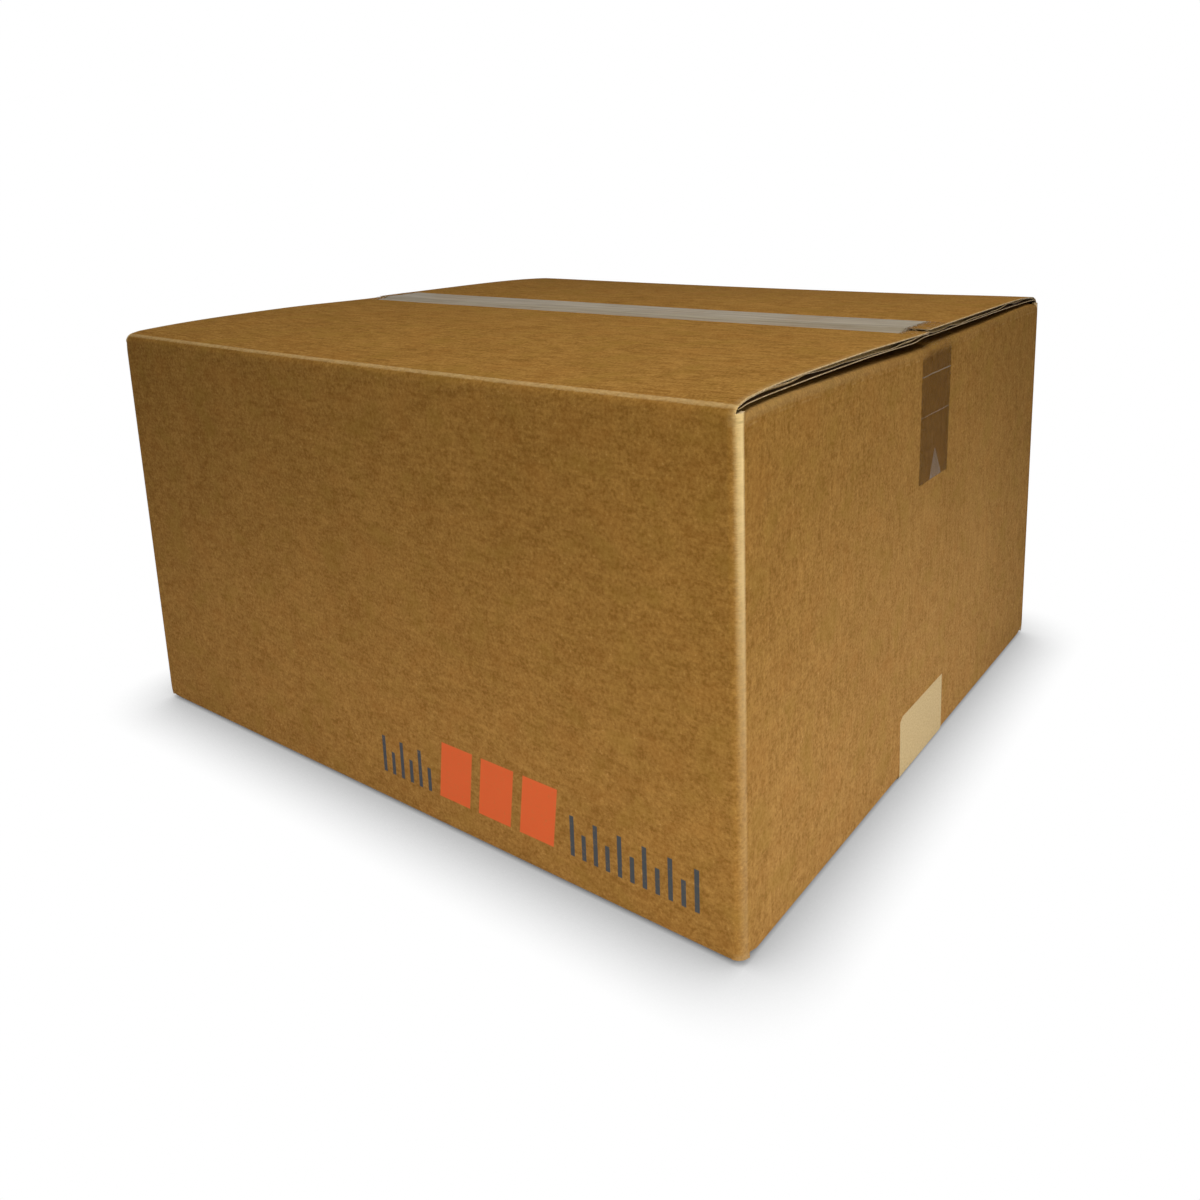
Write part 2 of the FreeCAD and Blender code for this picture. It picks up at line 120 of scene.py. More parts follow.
# %% Shader helpers
class Wire:
    """A node's output that numbers and other outputs can be added to or multiplied by."""

    def __init__(self, tree, socket):
        self.tree = tree
        self.socket = socket

    def math(self, operation, *others):
        values = dict(enumerate((self,) + others))
        node = add_node(self.tree, "Math", {"operation": operation}, values)
        return Wire(self.tree, node.outputs[0])

    def __add__(self, other):
        return self.math("ADD", other)

    def __sub__(self, other):
        return self.math("SUBTRACT", other)

    def __mul__(self, other):
        return self.math("MULTIPLY", other)

    __radd__ = __add__
    __rmul__ = __mul__

    def __rsub__(self, other):
        return self.math("MULTIPLY", -1.0).math("ADD", other)

    def __abs__(self):
        return self.math("ABSOLUTE")

    def over(self, other):
        return self.math("MAXIMUM", other)

    def under(self, other):
        return self.math("MINIMUM", other)

    def step(self, low, high):
        """0 up to low, 1 from high, and a smooth ramp between them."""
        values = {"Value": self, "From Min": low, "From Max": high}
        node = add_node(self.tree, "MapRange", {"interpolation_type": "SMOOTHSTEP"}, values)
        return Wire(self.tree, node.outputs["Result"])


def add_node(tree, kind, settings=None, values=None):
    """Add a shader node: its settings first, then numbers or links for its sockets."""
    node = tree.nodes.new("ShaderNode" + kind)
    for name, setting in (settings or {}).items():
        setattr(node, name, setting)
    for key, value in (values or {}).items():
        if isinstance(value, Wire):
            tree.links.new(value.socket, node.inputs[key])
        else:
            node.inputs[key].default_value = value
    return node


def output(tree, kind, settings=None, values=None, socket=0):
    """The same, when only one output of the node is wanted."""
    return Wire(tree, add_node(tree, kind, settings, values).outputs[socket])


def mix_colour(factor, first, second):
    """First colour where the factor is 0, second where it is 1."""
    values = {0: factor, 6: first, 7: second}
    return output(factor.tree, "Mix", {"data_type": "RGBA"}, values, socket=2)


def place_of(tree, stretch=(1.0, 1.0, 1.0)):
    """Object coordinates in metres, squeezed along each axis where a pattern is long."""
    here = output(tree, "TexCoord", socket="Object")
    return output(tree, "VectorMath", {"operation": "MULTIPLY"}, {0: here, 1: stretch})


def grain(tree, place, scale, detail=2.0, roughness=0.5):
    """Noise from 0 to 1, about 0.5."""
    values = {"Vector": place, "Scale": scale, "Detail": detail, "Roughness": roughness}
    return output(tree, "TexNoise", {"noise_dimensions": "3D"}, values, socket="Fac")


def new_material(name, roughness):
    """A material with one Principled surface, and its node tree."""
    material = bpy.data.materials.new(name)
    material.use_nodes = True
    shader = material.node_tree.nodes["Principled BSDF"]
    shader.inputs["Roughness"].default_value = roughness
    return material, material.node_tree, shader


def feed(shader, socket, wire):
    """Link a wire to one socket of a shader."""
    wire.tree.links.new(wire.socket, shader.inputs[socket])


def srgb(red, green, blue):
    """A colour as a paint chart gives it, from 0 to 255, made linear."""
    parts = [c / 255 for c in (red, green, blue)]
    return tuple(((c + 0.055) / 1.055) ** 2.4 if c > 0.04 else c / 12.92
                 for c in parts) + (1.0,)


# %% [markdown]
# Modelling is done with the same operators as by hand. An operator works on what is
# selected, so the two helpers below clear the selection first and then pick faces,
# edges or points by where they are.

# %% Selection helpers


def begin_edit(piece):
    """Make one piece active and open it in edit mode."""
    bpy.ops.object.select_all(action="DESELECT")
    piece.select_set(True)
    bpy.context.view_layer.objects.active = piece
    bpy.ops.object.mode_set(mode="EDIT")


def end_edit():
    bpy.ops.object.mode_set(mode="OBJECT")


def choose(kind, test):
    """In edit mode, select only the points, edges or faces whose middle passes a test."""
    bpy.ops.mesh.select_mode(type=kind)
    bpy.ops.mesh.select_all(action="DESELECT")
    mesh = bpy.context.object.data
    shape = bmesh.from_edit_mesh(mesh)
    if kind == "VERT":
        picked = [v for v in shape.verts if test(v.co)]
    elif kind == "EDGE":
        picked = [e for e in shape.edges if test((e.verts[0].co + e.verts[1].co) / 2)]
    else:
        picked = [f for f in shape.faces if test(f.calc_center_median())]
    for part in picked:
        part.select_set(True)
    shape.select_flush_mode()
    bmesh.update_edit_mesh(mesh)
    return len(picked)


def near(value, target, slack=0.05 * MM):
    return abs(value - target) < slack


def cut_across(axis, places):
    """Cut the whole open mesh with planes across one axis, like lines ruled on it."""
    normal = [0.0, 0.0, 0.0]
    normal["xyz".index(axis)] = 1.0
    for place in places:
        bpy.ops.mesh.select_all(action="SELECT")
        bpy.ops.mesh.bisect(plane_co=[place * part for part in normal], plane_no=normal)


# %% [markdown]
# The sheet. On the real box one blank is scored, folded at four upright creases and
# glued where its tab lies inside the back panel. The mesh is folded in the same way:
# it starts as the back panel and is drawn on round the box, a spin at each crease.
# Only the outer face is made, and gets the board's thickness at the end.

# %% Fold the walls
TAB_SHIFT = BOARD + 0.05 * MM
GLUE_TAB = 35.0 * MM
CREASE_STEPS = 8
X_FOLD = HALF_LENGTH - CORNER_FOLD
Y_FOLD = HALF_WIDTH - CORNER_FOLD
bpy.ops.object.select_all(action="DESELECT")
bpy.ops.mesh.primitive_plane_add(size=1, location=(0, HALF_WIDTH, (WALL_LOW + WALL_HIGH) / 2),
                                 rotation=(math.pi / 2, 0, 0))
carton = bpy.context.object
carton.name = "carton_sheet"
carton.scale = (2 * X_FOLD, WALL_HIGH - WALL_LOW, 1)
bpy.ops.object.transform_apply(location=True, rotation=True, scale=True)


def turn_corner(edge_test, pivot):
    """Fold at an upright crease: a quarter turn of the last upright edge."""
    choose("EDGE", edge_test)
    bpy.ops.mesh.spin(steps=CREASE_STEPS, angle=math.pi / 2, axis=(0, 0, 1),
                      center=(pivot[0], pivot[1], 0))


def draw_on(edge_test, step):
    """Draw the sheet on past the last edge, straight ahead."""
    choose("EDGE", edge_test)
    bpy.ops.mesh.extrude_edges_move(TRANSFORM_OT_translate={"value": step})


begin_edit(carton)
turn_corner(lambda p: near(p.x, X_FOLD), (X_FOLD, Y_FOLD))
draw_on(lambda p: near(p.y, Y_FOLD) and near(p.x, HALF_LENGTH), (0, -2 * Y_FOLD, 0))
turn_corner(lambda p: near(p.y, -Y_FOLD), (X_FOLD, -Y_FOLD))
draw_on(lambda p: near(p.x, X_FOLD) and near(p.y, -HALF_WIDTH), (-2 * X_FOLD, 0, 0))
turn_corner(lambda p: near(p.x, -X_FOLD) and p.y < 0, (-X_FOLD, -Y_FOLD))
draw_on(lambda p: near(p.x, -HALF_LENGTH), (0, 2 * Y_FOLD - TAB_SHIFT, 0))
turn_corner(lambda p: near(p.y, Y_FOLD - TAB_SHIFT) and p.x < 0, (-X_FOLD, Y_FOLD - TAB_SHIFT))
draw_on(lambda p: near(p.x, -X_FOLD) and near(p.y, HALF_WIDTH - TAB_SHIFT), (GLUE_TAB, 0, 0))
print("walls:", len(bmesh.from_edit_mesh(carton.data).faces), "faces")

# %% [markdown]
# Flaps. The long flaps close last: their creases turn with a small radius, and the
# two top ones rise slightly to the seam, pushed up by the flaps under them. The short
# flaps close first and lie below. Each flap is drawn out of the rim of its wall.

# %% Fold the flaps
CROWN_REACH = HALF_WIDTH - LONG_FOLD
CROWN_RADIUS = (CROWN_REACH ** 2 + CROWN ** 2 + 2 * CROWN * LONG_FOLD) / (2 * CROWN)
CROWN_LEAN = math.asin(CROWN_REACH / (CROWN_RADIUS - LONG_FOLD))
SEAM_LEAN = math.asin(SEAM_GAP / 2 / CROWN_RADIUS)
INNER_SIDE = HALF_WIDTH - 6.5 * MM
INNER_END = 25.5 * MM
LONG_HIGH = LID - LONG_FOLD
LONG_LOW = BASE + LONG_FOLD
LOW_SIDE = HALF_LENGTH - 6.5 * MM
FLAP_STEPS = 40
cut_across("x", (-FLAP_SIDE, FLAP_SIDE, -LOW_SIDE, LOW_SIDE))
cut_across("y", (-INNER_SIDE, INNER_SIDE))


def fold_long_flap(side, fold_z, crown_z, up, flap_side):
    """Fold a long flap over: side -1 front, 1 back; up 1 top, -1 bottom."""
    choose("EDGE", lambda p: near(p.z, fold_z) and p.y * side > Y_FOLD + 0.5 * MM
           and abs(p.x) < flap_side)
    axis = (-side * up, 0, 0)
    lean = CROWN_LEAN if crown_z is not None else 0.0
    bpy.ops.mesh.spin(steps=CREASE_STEPS, angle=math.pi / 2 - lean, axis=axis,
                      center=(0, side * CROWN_REACH, fold_z))
    if crown_z is None:
        reach = -side * (CROWN_REACH - SEAM_GAP / 2)
        bpy.ops.mesh.extrude_edges_move(TRANSFORM_OT_translate={"value": (0, reach, 0)})
    else:
        bpy.ops.mesh.spin(steps=FLAP_STEPS, angle=lean - SEAM_LEAN, axis=axis,
                          center=(0, 0, crown_z))


def fold_short_flap(side, rim, up, radius):
    """Fold a short flap in under the long ones: side -1 left, 1 right."""
    choose("EDGE", lambda p: near(p.z, rim) and near(p.x, side * HALF_LENGTH)
           and abs(p.y) < INNER_SIDE)
    pivot = side * (HALF_LENGTH - radius)
    bpy.ops.mesh.spin(steps=CREASE_STEPS, angle=math.pi / 2, axis=(0, side * up, 0),
                      center=(pivot, 0, rim))
    reach = -side * (HALF_LENGTH - radius - INNER_END)
    bpy.ops.mesh.extrude_edges_move(TRANSFORM_OT_translate={"value": (reach, 0, 0)})


for rim, fold_z in ((WALL_HIGH, LONG_HIGH), (WALL_LOW, LONG_LOW)):
    draw_on(lambda p: near(p.z, rim) and abs(p.y) > INNER_SIDE, (0, 0, fold_z - rim))
for side in (-1, 1):
    fold_long_flap(side, LONG_HIGH, SEAM_TOP - CROWN_RADIUS, 1, FLAP_SIDE)
    fold_long_flap(side, LONG_LOW, None, -1, LOW_SIDE)
    fold_short_flap(side, WALL_HIGH, 1, END_FOLD)
    fold_short_flap(side, WALL_LOW, -1, LOW_FOLD)
print("flaps folded:", len(bmesh.from_edit_mesh(carton.data).faces), "faces")

# %% [markdown]
# Corners. Between two flaps the sheet is slotted down to the crease, so the upright
# fold ends in a small collar there. Its rim is drawn up, or down at the bottom, to the
# level of the long creases. That closes the corner, as on a well folded box. At the
# top front left the slot is left open, and one sees into the dark of the box.

# %% Raise the corners to the slots
COLLAR_UP, COLLAR_DOWN = 2.4 * MM, -2.7 * MM
for rim, rise, flap_side in ((LONG_HIGH, COLLAR_UP, FLAP_SIDE), (LONG_LOW, COLLAR_DOWN, LOW_SIDE)):
    draw_on(lambda p: near(p.z, rim, 0.01 * MM) and abs(p.x) > flap_side
            and abs(p.y) > INNER_SIDE and not (rise > 0 and p.x < 0 and p.y < 0), (0, 0, rise))

# %% [markdown]
# So that the big faces can bow and sag a little, they are cut into a grid. Lines are
# closer near the side edges of the long flaps, where the board is cut open.

# %% Rule the grid
EDGE_HOLLOW = 14.0 * MM
HOLLOW_START = FLAP_SIDE - EDGE_HOLLOW
LINES_X, LINES_Y, LINES_Z = 35, 54, 19


def spread(low, high, count):
    return [low + (high - low) * i / (count + 1) for i in range(1, count + 1)]


side_lines = [HOLLOW_START, HOLLOW_START + 0.6 * MM, FLAP_SIDE - 8 * MM, FLAP_SIDE - 1 * MM]
side_lines += [-x for x in side_lines]
cut_across("x", spread(-HOLLOW_START, HOLLOW_START, LINES_X) + side_lines)
cut_across("y", spread(-INNER_SIDE, INNER_SIDE, LINES_Y))
cut_across("z", spread(WALL_LOW, WALL_HIGH, LINES_Z))
bpy.ops.mesh.select_all(action="SELECT")
bpy.ops.mesh.remove_doubles(threshold=0.01 * MM)
bpy.ops.mesh.normals_make_consistent(inside=False)
end_edit()
print("grid:", len(carton.data.polygons), "faces")

# %% [markdown]
# Thickness. Solidify gives the sheet its 4 mm. Beside the cut edges only the outer
# liner is left standing, about as thin as a card, by a vertex group that scales the
# thickness. The inner liner and the flutes are put in there as sheets of their own.

# %% Give the board its thickness
FLAP_END_PULL = 0.6
CUT_SLOT, INSIDE_SLOT, FLUTING_SLOT = 1, 2, 3


def on_open_edge(p):
    """True for points of a long flap past the line where its edge is left hollow."""
    if not HOLLOW_START + 0.3 * MM < abs(p.x) < FLAP_SIDE + 0.01 * MM:
        return False
    over = p.z > LID - BOARD or p.z < BASE + 0.1 * MM
    crease = abs(p.y) > Y_FOLD + 0.1 * MM and not LONG_LOW < p.z < LONG_HIGH + 0.5 * MM
    return over or crease


def level_flap_end(p):
    """Lift the end of a long flap, which the round corner has drawn in, level with it."""
    if abs(p.x) > X_FOLD and p.z > LONG_HIGH + 0.01 * MM and abs(p.x) < FLAP_SIDE + 0.01 * MM:
        arc = math.sqrt(max(0.0, CORNER_FOLD ** 2 - (abs(p.x) - X_FOLD) ** 2))
        lift = CORNER_FOLD - arc
        past_crease = abs(p.y) - CROWN_REACH
        if past_crease <= 0:
            p.z += lift
        else:
            p.y += math.copysign(lift * past_crease / CORNER_FOLD, p.y) * FLAP_END_PULL
            p.z += lift * (p.z - LONG_HIGH) / CORNER_FOLD


for vertex in carton.data.vertices:
    level_flap_end(vertex.co)
core = carton.vertex_groups.new(name="core")
core.add([v.index for v in carton.data.vertices if not on_open_edge(v.co)], 1.0, "REPLACE")
board = carton.modifiers.new("board", "SOLIDIFY")
board.thickness = BOARD
board.offset = -1.0
board.use_even_offset = True
board.vertex_group = "core"
board.thickness_vertex_group = LINER / BOARD
# The inner face takes the dark inside paper, which is painted shade.
board.material_offset = INSIDE_SLOT
board.material_offset_rim = CUT_SLOT
for name in ("kraft", "cut_edge", "inside", "fluting"):
    carton.data.materials.append(bpy.data.materials.new(name))
bpy.context.view_layer.objects.active = carton
bpy.ops.object.modifier_apply(modifier="board")
print("board:", len(carton.data.polygons), "faces")

# %% [markdown]
# Open edges. A cut board shows three papers: two flat liners with a wavy one between.
# The flutes run away from the crease, so at the side of a flap the knife follows one
# flute and slowly crosses from it to the next, and the wavy paper wanders with it.

# %% Sheets for the open edges
MEDIUM = 0.4 * MM
MEDIUM_SHORT = 0.25 * MM
EDGE_ROWS = 64
LINER_COLUMNS, MEDIUM_COLUMNS = 5, 22


def top_height(y):
    """Height of the outer face of the top flaps over a point of the floor."""
    return SEAM_TOP - CROWN_RADIUS + math.sqrt(CROWN_RADIUS ** 2 - y * y)


def edge_sheet(name, columns, short):
    """A grid beside the cut edge of the front top flap, to be copied for the others."""
    bpy.ops.object.select_all(action="DESELECT")
    low_y, high_y = -(Y_FOLD + 2.0 * MM), -SEAM_GAP / 2
    low_x, high_x = HOLLOW_START - 1.5 * MM, FLAP_SIDE - short
    middle = ((low_x + high_x) / 2, (low_y + high_y) / 2, 0)
    bpy.ops.mesh.primitive_grid_add(x_subdivisions=columns, y_subdivisions=EDGE_ROWS,
                                    size=1, location=middle)
    sheet = bpy.context.object
    sheet.name = name
    sheet.scale = (high_x - low_x, high_y - low_y, 1)
    bpy.ops.object.transform_apply(location=True, rotation=True, scale=True)
    return sheet


liner_sheet = edge_sheet("edge_liner", LINER_COLUMNS, 0.0)
medium_sheet = edge_sheet("edge_medium", MEDIUM_COLUMNS, MEDIUM_SHORT)
print("sheets:", len(liner_sheet.data.vertices), "and", len(medium_sheet.data.vertices), "points")

# %% [markdown]
# The two sheets are copied to the eight open edges: left and right, front and back,
# top and bottom. The board is pinched near the crease, and again at the front of the
# seam, where the film pulls the flap down. The fluted paper goes up and down between.

# %% Line and flute the open edges
FLUTE = 7.9 * MM
CROSSING = 38.0
DRIFT = 3.4
CREASE_PINCH = 0.55
PINCH_REACH = 55 * MM
TAPE_PINCH = 0.55
TAPED_FROM, TAPED_REACH = 6 * MM, 22 * MM


def ease(value, low, high):
    """0 up to low, 1 from high, smooth between."""
    t = min(1.0, max(0.0, (value - low) / (high - low)))
    return t * t * (3 - 2 * t)


def squeeze(y, up):
    """How much of its thickness the board keeps at a place on its open edge."""
    crease = min(1.0, max(0.0, (Y_FOLD + 2 * MM - abs(y)) / PINCH_REACH))
    keep = 1 - CREASE_PINCH * (1 - crease) ** 2
    if up > 0 and y < 0:
        keep *= 1 - TAPE_PINCH * (1 - ease(-y, TAPED_FROM, TAPED_FROM + TAPED_REACH))
    return keep


def flute_wave(x, y):
    """Place of the wavy paper between the liners, from 0 at the outer to 1."""
    wandering = DRIFT * noise.noise(Vector((y * 26.0, x * 2.0, 3.7)))
    drift = wandering + y * CROSSING * (1 if x > 0 else -1)
    return 0.5 + 0.5 * math.sin(2 * math.pi * abs(x) / FLUTE + drift)


def place_sheet(sheet, side_x, side_y, up, kind):
    """Copy a sheet to one open edge and shape it there."""
    piece = sheet.copy()
    piece.data = sheet.data.copy()
    bpy.context.scene.collection.objects.link(piece)
    room = BOARD - 2 * LINER - MEDIUM - 0.1 * MM
    inset = 0.0 if up > 0 else FLAP_SIDE - LOW_SIDE
    for vertex in piece.data.vertices:
        x, y = (vertex.co.x - inset) * side_x, vertex.co.y * -side_y
        keep = squeeze(y, up)
        if kind == "liner":
            depth = LINER + (BOARD - 2 * LINER) * keep
        else:
            depth = LINER + 0.05 * MM + room * keep * flute_wave(x, y)
        outer_face = top_height(y) if up > 0 else BASE
        vertex.co = (x, y, outer_face - up * depth)
    if side_x * side_y * up > 0:
        begin_edit(piece)
        bpy.ops.mesh.select_all(action="SELECT")
        bpy.ops.mesh.flip_normals()
        end_edit()
    return piece


edges = []
# The inner liner at the cut edges takes the dark inside paper, painted shade in the flute
# channels.
for kind, sheet, thickness, slot in (("liner", liner_sheet, LINER, INSIDE_SLOT),
                                     ("medium", medium_sheet, MEDIUM, FLUTING_SLOT)):
    for side_x in (-1, 1):
        for side_y in (-1, 1):
            for up in (-1, 1):
                piece = place_sheet(sheet, side_x, side_y, up, kind)
                layer = piece.modifiers.new("paper", "SOLIDIFY")
                layer.thickness = thickness
                layer.offset = -1.0
                layer.material_offset_rim = CUT_SLOT - slot
                for material in carton.data.materials:
                    piece.data.materials.append(material)
                for face in piece.data.polygons:
                    face.material_index = slot
                bpy.context.view_layer.objects.active = piece
                bpy.ops.object.modifier_apply(modifier="paper")
                edges.append(piece)
for sheet in (liner_sheet, medium_sheet):
    bpy.data.objects.remove(sheet)
bpy.ops.object.select_all(action="DESELECT")
for piece in edges:
    piece.select_set(True)
carton.select_set(True)
bpy.context.view_layer.objects.active = carton
bpy.ops.object.join()
print("carton:", len(carton.data.polygons), "faces")

# %% [markdown]
# Tapes. A tape is a flat strip that is laid along the seam and pressed down over the
# edge onto both end panels. The strip starts as a grid on the lid, and each end is
# drawn out along the way that a hand would press it.

# %% Lay the tapes
FILM = 0.05 * MM
FILM_LOW, FILM_HIGH = -15.0 * MM, 33.0 * MM
FILM_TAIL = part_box("top_tape")[0][2]
FILM_ROWS, PAPER_ROWS = 24, 18
FILM_STEPS, PAPER_STEPS = 22, 12
TAPE_COLUMNS = 96
PAPER = 0.18 * MM
PAPER_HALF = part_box("bottom_tape")[1][1]
PAPER_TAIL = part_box("bottom_tape")[1][2]
PAPER_CLIP = 2.5 * MM


def lay_tape(name, low_y, high_y, rows, level, route):
    """A grid between the flap sides at one level, drawn out over both ends."""
    bpy.ops.object.select_all(action="DESELECT")
    bpy.ops.mesh.primitive_grid_add(x_subdivisions=TAPE_COLUMNS, y_subdivisions=rows, size=1,
                                    location=(0, (low_y + high_y) / 2, level))
    tape = bpy.context.object
    tape.name = name
    tape.scale = (2 * route[0][0], high_y - low_y, 1)
    bpy.ops.object.transform_apply(location=True, rotation=True, scale=True)
    begin_edit(tape)
    for side in (-1, 1):
        choose("EDGE", lambda p: near(p.x, side * route[0][0]))
        for start, stop in zip(route, route[1:]):
            step = (side * (stop[0] - start[0]), 0, stop[1] - start[1])
            bpy.ops.mesh.extrude_edges_move(TRANSFORM_OT_translate={"value": step})
    bpy.ops.mesh.select_all(action="SELECT")
    bpy.ops.mesh.normals_make_consistent(inside=False)
    end_edit()
    return tape


def down(points, bottom, count):
    """A route over the edge, carried on in even steps to the end of the tail."""
    last_x, last_z = points[-1]
    return points + [(last_x, last_z + (bottom - last_z) * i / count)
                     for i in range(1, count + 1)]


lid_z = SEAM_TOP + FILM
over_lid_edge = [
    (FLAP_SIDE - 0.9 * MM, lid_z), (FLAP_SIDE - 0.3 * MM, lid_z - 0.1 * MM),
    (FLAP_SIDE + 0.05 * MM, lid_z - 0.5 * MM), (FLAP_SIDE + 0.15 * MM, LID - 1.5 * MM),
    (FLAP_SIDE + 0.4 * MM, LID - 4.2 * MM), (FLAP_SIDE + 1.3 * MM, LID - 5.9 * MM),
    (HALF_LENGTH - 0.08 * MM, LID - 7.8 * MM), (HALF_LENGTH + 0.04 * MM, LID - 10.5 * MM)]
top_route = down(over_lid_edge, FILM_TAIL, FILM_STEPS)
top_tape = lay_tape("film_tape", FILM_LOW, FILM_HIGH, FILM_ROWS, lid_z, top_route)
low_z = BASE - 0.02 * MM
round_low_fold = [
    (LOW_SIDE - 0.6 * MM, low_z), (LOW_SIDE + 0.6 * MM, low_z + 0.2 * MM),
    (LOW_SIDE + 2.4 * MM, 0.45 * MM), (HALF_LENGTH - 2.2 * MM, 0.7 * MM),
    (HALF_LENGTH - 0.7 * MM, 1.7 * MM), (HALF_LENGTH - 0.1 * MM, 3.4 * MM),
    (HALF_LENGTH + 0.1 * MM, 6.5 * MM)]
low_route = down(round_low_fold, PAPER_TAIL, PAPER_STEPS)
paper_tape = lay_tape("paper_tape", -PAPER_HALF, PAPER_HALF, PAPER_ROWS, low_z, low_route)
for vertex in paper_tape.data.vertices:
    if vertex.co.y < -PAPER_HALF + 1 * MM and vertex.co.z > PAPER_TAIL - 1 * MM:
        vertex.co.z -= PAPER_CLIP
print("tape tails end at", round(FILM_TAIL, 4), "and", round(PAPER_TAIL, 4))

# %% [markdown]
# Wear. A carton that has been used is never quite flat: its walls bow, the front flap
# lies lower than the back one at the seam, and the creases are pressed in. One smooth
# function moves the points of all pieces alike, so that the tapes stay on the board.
# The moves are a millimetre or two, and all of them stay inside the size of the box.

# %% Bow, sag and step
FRONT_SAG, BACK_SAG = 1.3 * MM, 0.8 * MM
SAG_WIDTH = 90 * MM
SEAM_STEP, RIGHT_STEP = 1.3 * MM, 0.2 * MM
STEP_RUN = 130 * MM
LID_WAVE = 0.6 * MM
WALL_BOW, BOW_WANDER = 0.6 * MM, 0.5 * MM
BOW_RUN = 40 * MM
HIGH_CORNER = (0.2 * MM, 0.4 * MM, 0.3 * MM)
LOW_CORNER = (0.3 * MM, 0.4 * MM)


def wander(x, y, z, seed):
    """Slow noise from 0 to 1."""
    return 0.5 + 0.5 * noise.noise(Vector((x * 7 + seed, y * 7, z * 7)))


def front_drop(x):
    """How far the front flap lies below the back one at the seam."""
    return SEAM_STEP + RIGHT_STEP * ease(x, 0.14, 0.25)


def end_lift(x, y):
    """Near its cut edges a flap stands straighter: it rises at once and then runs level."""
    part = abs(y) / HALF_WIDTH
    sharp = 10 if x > 0 else 5
    return CROWN * (part ** 2 - part ** sharp) * ease(abs(x), 0.10, 0.25)


def settle(p, bridge=False):
    """The place of a point after the box has been packed, stacked and carried."""
    x, y, z = p
    from_side = HALF_WIDTH - abs(y)
    across = math.cos(math.pi * x / (2 * HALF_LENGTH))
    along = math.cos(math.pi * y / (2 * HALF_WIDTH))

    front = ease(-y, HALF_WIDTH - SAG_WIDTH, HALF_WIDTH - 4 * MM)
    back = ease(y, HALF_WIDTH - SAG_WIDTH, HALF_WIDTH - 4 * MM)
    rise = ease(z, LID - 60 * MM, LID - 6 * MM)
    sag = rise * (FRONT_SAG * front + BACK_SAG * back) * across

    lid = ease(z, LID - 30 * MM, LID - 6 * MM) * ease(from_side, 1 * MM, 12 * MM)
    seam = ease(-y, -1.0 * MM, 7 * MM) if bridge else ease(-y, -0.6 * MM, 0.2 * MM)
    step = front_drop(x) * seam * ease(HALF_WIDTH + y, STEP_RUN, HALF_WIDTH)
    inner = ease(from_side, 5 * MM, 80 * MM) * (1 - ease(abs(x), 0.15, 0.25))
    wave = LID_WAVE * wander(x, y, 0.0, 5.0) * inner
    sag += lid * (step - end_lift(x, y) + wave)

    height = math.sin(math.pi * min(1, max(0, z / LID)))
    bow_y = height * across * (WALL_BOW + BOW_WANDER * wander(x, 0, z, 1.0))
    bow_x = height * along * (WALL_BOW + BOW_WANDER * wander(0, y, z, 2.0))
    bow_y *= ease(abs(y), HALF_WIDTH - BOW_RUN, HALF_WIDTH - 8 * MM)
    bow_x *= ease(abs(x), HALF_LENGTH - BOW_RUN, HALF_LENGTH - 8 * MM)
    if z > LID - 4 * MM:
        bow_x = 0.0

    corner = ease(abs(x), HALF_LENGTH - 14 * MM, HALF_LENGTH - 1 * MM)
    corner *= ease(abs(y), HALF_WIDTH - 12 * MM, HALF_WIDTH - 1 * MM)
    high = corner * ease(z, LID - 14 * MM, LID - 3 * MM)
    low = corner * ease(-z, -9 * MM, -2 * MM)
    in_x = bow_x + HIGH_CORNER[0] * high + LOW_CORNER[0] * low
    in_y = bow_y + HIGH_CORNER[1] * high + LOW_CORNER[1] * low
    return Vector((x - math.copysign(in_x, x), y - math.copysign(in_y, y),
                   z - sag - HIGH_CORNER[2] * high))


# %% [markdown]
# The end panels have folds of their own. The low ones bulge down beside the flaps, and
# the high ones are pressed out square under the lid. Before the points move, the place
# of each is kept as an attribute, from which the materials later find the folds.

# %% Settle the pieces
FOLD_SINK = 3.6 * MM
SMOOTH_ANGLE = 35


def sink_fold(p):
    """The low folds of the end panels bulge down past the side edges of the flaps."""
    past = ease(abs(p.x), LOW_SIDE + 0.6 * MM, LOW_SIDE + 2.6 * MM)
    past *= 1 - ease(abs(p.y), INNER_SIDE - 1.0 * MM, INNER_SIDE + 0.5 * MM)
    return Vector((p.x, p.y, p.z - FOLD_SINK * past * ease(26 * MM - p.z, 0, 20 * MM)))


def square_fold(p):
    """The high folds of the end panels are pressed out flat under the long flaps."""
    out, up = abs(p.x) - (HALF_LENGTH - END_FOLD), p.z - WALL_HIGH
    beyond = math.hypot(out, up) > END_FOLD + 0.1 * MM
    if min(out, up) <= 0 or beyond or abs(p.y) > INNER_SIDE:
        return p
    turn = math.atan2(up, out)
    c, s = math.cos(turn), math.sin(turn)
    push = END_FOLD * ((c ** 4 + s ** 4) ** -0.25 - 1)
    return p + Vector((math.copysign(push * c, p.x), 0, push * s))


def settle_piece(piece, bridge=False):
    """Keep each point's unsettled place as an attribute, then settle the mesh."""
    mesh = piece.data
    flat = mesh.attributes.new("flat", "FLOAT_VECTOR", "POINT")
    for vertex, place in zip(mesh.vertices, flat.data):
        place.vector = vertex.co
        folded = square_fold(sink_fold(vertex.co)) if piece == carton else vertex.co
        vertex.co = settle(folded, bridge)
    mesh.update()


